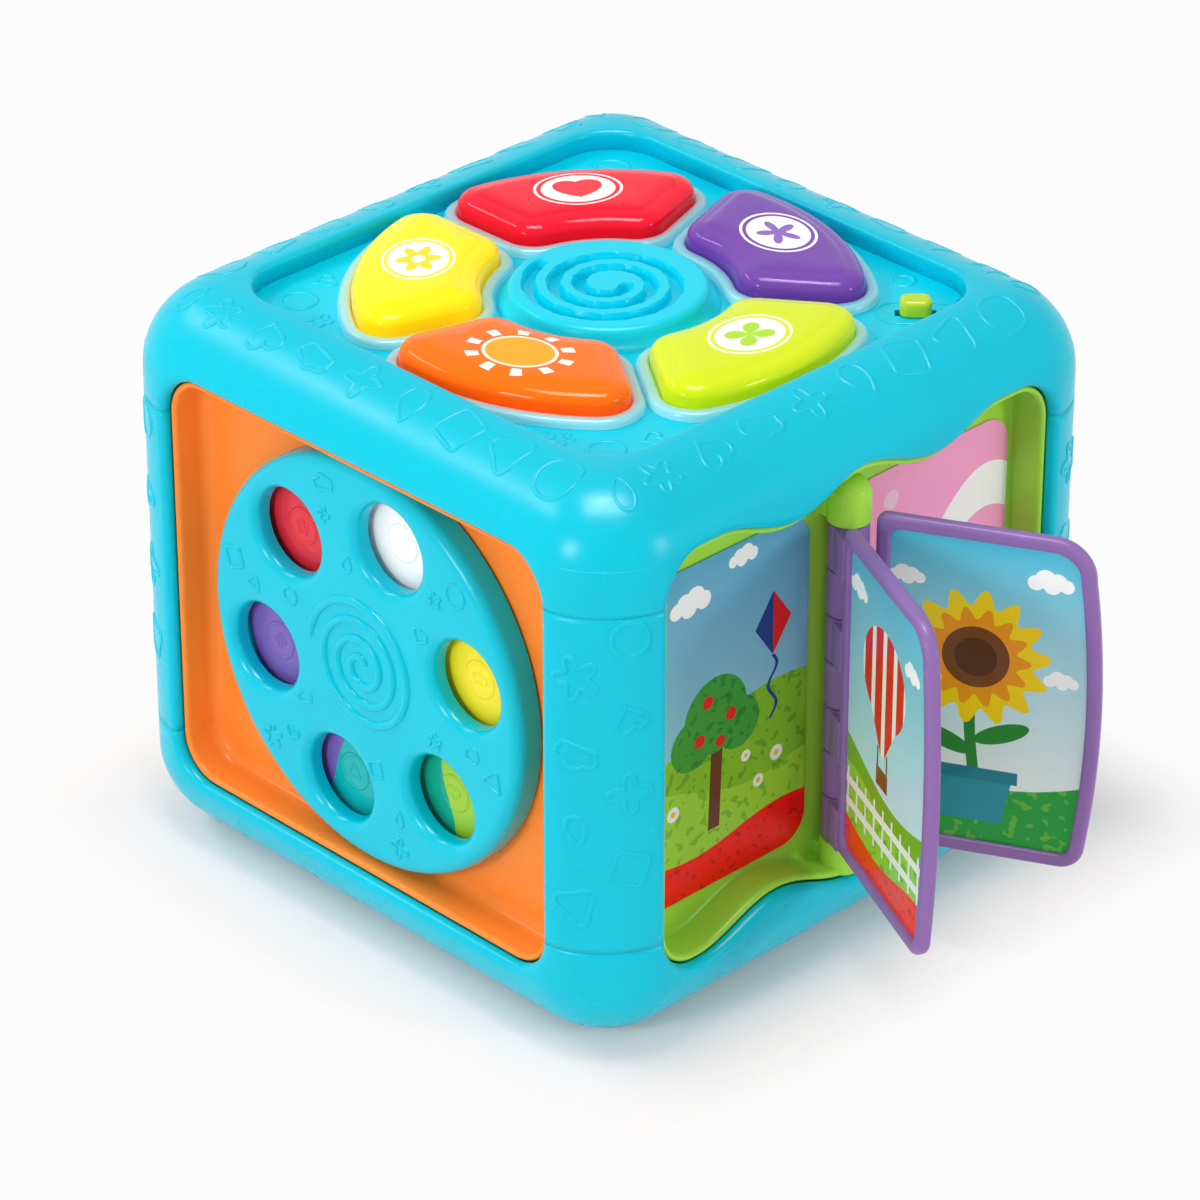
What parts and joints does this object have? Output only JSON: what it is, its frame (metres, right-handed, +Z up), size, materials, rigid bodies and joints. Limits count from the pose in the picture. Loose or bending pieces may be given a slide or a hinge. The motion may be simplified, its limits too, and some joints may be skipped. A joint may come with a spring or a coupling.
{
  "type": "activity cube",
  "caption": "Toddler activity cube with a rotary dial, a hinged picture book, meshing gears, a clock and light-up press buttons in a rounded moulded casing.",
  "frame": {"origin": "centre of the flat base, on the surface that the cube stands on", "axes": "+Z up, -Y out of the dial's side, +X out of the book's side"},
  "size_m": [0.2574, 0.2, 0.1755],
  "materials": {
    "teal_plastic": "moulded, satin gloss",
    "frosted_clear": "frosted translucent",
    "orange_plastic": "moulded, gloss",
    "lime_plastic": "moulded, gloss",
    "purple_plastic": "moulded, gloss",
    "red_plastic": "moulded, gloss",
    "yellow_plastic": "moulded, gloss",
    "green_plastic": "moulded, gloss",
    "white_plastic": "moulded, gloss",
    "printed_card": "printed, laminated",
    "silicone": "soft silicone",
    "steel": "plain",
    "board": "solder mask",
    "black_plastic": "plain",
    "insulation": "wire cover"
  },
  "bodies": {
    "casing": {"top_frame": "teal_plastic", "bottom_frame": "teal_plastic", "post_front": "teal_plastic", "post_right": "teal_plastic", "post_back": "teal_plastic", "post_left": "teal_plastic", "top_panel": "teal_plastic", "light_collars": "frosted_clear", "hub_cap": "teal_plastic", "keypad": "silicone", "power_switch": "steel", "circuit_board": "board", "board_screws": "steel", "leds": "white_plastic", "speaker": "black_plastic", "speaker_magnet": "steel", "dial_tray": "orange_plastic", "pad_yellow": "yellow_plastic", "pad_white": "white_plastic", "pad_red": "red_plastic", "pad_purple": "purple_plastic", "pad_teal": "teal_plastic", "pad_green": "green_plastic", "book_tray": "lime_plastic", "hinge_pin": "steel", "left_picture": "printed_card", "right_picture": "printed_card", "gear_tray": "purple_plastic", "gear_caps": "teal_plastic", "clock_tray": "yellow_plastic", "clock_face": "printed_card", "clock_cap": "lime_plastic", "battery_box": "black_plastic", "batteries": "steel", "battery_contacts": "steel", "battery_leads": "insulation", "battery_door": "teal_plastic", "door_screw": "steel", "case_screws": "steel"},
    "dial_body": {"dial": "teal_plastic", "dial_washer": "steel", "dial_screw": "steel"},
    "orange_key": {"button_orange": "orange_plastic"},
    "lime_key": {"button_lime": "lime_plastic"},
    "purple_key": {"button_purple": "purple_plastic"},
    "red_key": {"button_red": "red_plastic"},
    "yellow_key": {"button_yellow": "yellow_plastic"},
    "switch_slider": {"switch_knob": "lime_plastic"},
    "front_leaf": {"front_page": "purple_plastic", "front_card": "printed_card"},
    "rear_leaf": {"rear_page": "purple_plastic", "rear_card": "printed_card"},
    "large_gear": {"gear_large": "yellow_plastic"},
    "middle_gear": {"gear_middle": "red_plastic"},
    "small_gear": {"gear_small": "green_plastic"},
    "hour": {"hour_hand": "red_plastic"},
    "minute": {"minute_hand": "purple_plastic"}
  },
  "joints": [
    {"name": "dial_turn", "type": "hinge", "parent": "casing", "child": "dial_body", "pos_m": [0, -0.09, 0.0875], "axis": [0, -1, 0], "continuous": true},
    {"name": "orange_press", "type": "slide", "parent": "casing", "child": "orange_key", "axis": [0, 0, -1], "range_m": [0, 0.003], "stiffness_N_per_m": 800, "deforming": ["keypad"]},
    {"name": "lime_press", "type": "slide", "parent": "casing", "child": "lime_key", "axis": [0, 0, -1], "range_m": [0, 0.003], "stiffness_N_per_m": 800, "deforming": ["keypad"]},
    {"name": "purple_press", "type": "slide", "parent": "casing", "child": "purple_key", "axis": [0, 0, -1], "range_m": [0, 0.003], "stiffness_N_per_m": 800, "deforming": ["keypad"]},
    {"name": "red_press", "type": "slide", "parent": "casing", "child": "red_key", "axis": [0, 0, -1], "range_m": [0, 0.003], "stiffness_N_per_m": 800, "deforming": ["keypad"]},
    {"name": "yellow_press", "type": "slide", "parent": "casing", "child": "yellow_key", "axis": [0, 0, -1], "range_m": [0, 0.003], "stiffness_N_per_m": 800, "deforming": ["keypad"]},
    {"name": "switch_slide", "type": "slide", "parent": "casing", "child": "switch_slider", "axis": [0.7071, 0.7071, 0], "range_m": [-0.004, 0.004]},
    {"name": "front_page_turn", "type": "hinge", "parent": "casing", "child": "front_leaf", "pos_m": [0.0927, 0, 0.0875], "axis": [0, 0, 1], "range_deg": [-63, 25]},
    {"name": "rear_page_turn", "type": "hinge", "parent": "casing", "child": "rear_leaf", "pos_m": [0.0927, 0, 0.0875], "axis": [0, 0, 1], "range_deg": [-28, 60]},
    {"name": "large_gear_turn", "type": "hinge", "parent": "casing", "child": "large_gear", "pos_m": [0.02691, 0.09, 0.07002], "axis": [0, 1, 0], "continuous": true},
    {"name": "middle_gear_turn", "type": "hinge", "parent": "casing", "child": "middle_gear", "pos_m": [0.00066, 0.09, 0.11548], "axis": [0, 1, 0], "continuous": true},
    {"name": "small_gear_turn", "type": "hinge", "parent": "casing", "child": "small_gear", "pos_m": [-0.03741, 0.09, 0.09773], "axis": [0, 1, 0], "continuous": true},
    {"name": "hour_hand_turn", "type": "hinge", "parent": "casing", "child": "hour", "pos_m": [-0.09, 0, 0.0875], "axis": [-1, 0, 0], "continuous": true},
    {"name": "minute_hand_turn", "type": "hinge", "parent": "casing", "child": "minute", "pos_m": [-0.09, 0, 0.0875], "axis": [-1, 0, 0], "continuous": true}
  ],
  "couplings": [
    {"joint": "middle_gear_turn", "follows": "large_gear_turn", "ratio": -1.5},
    {"joint": "small_gear_turn", "follows": "large_gear_turn", "ratio": 1.5}
  ]
}
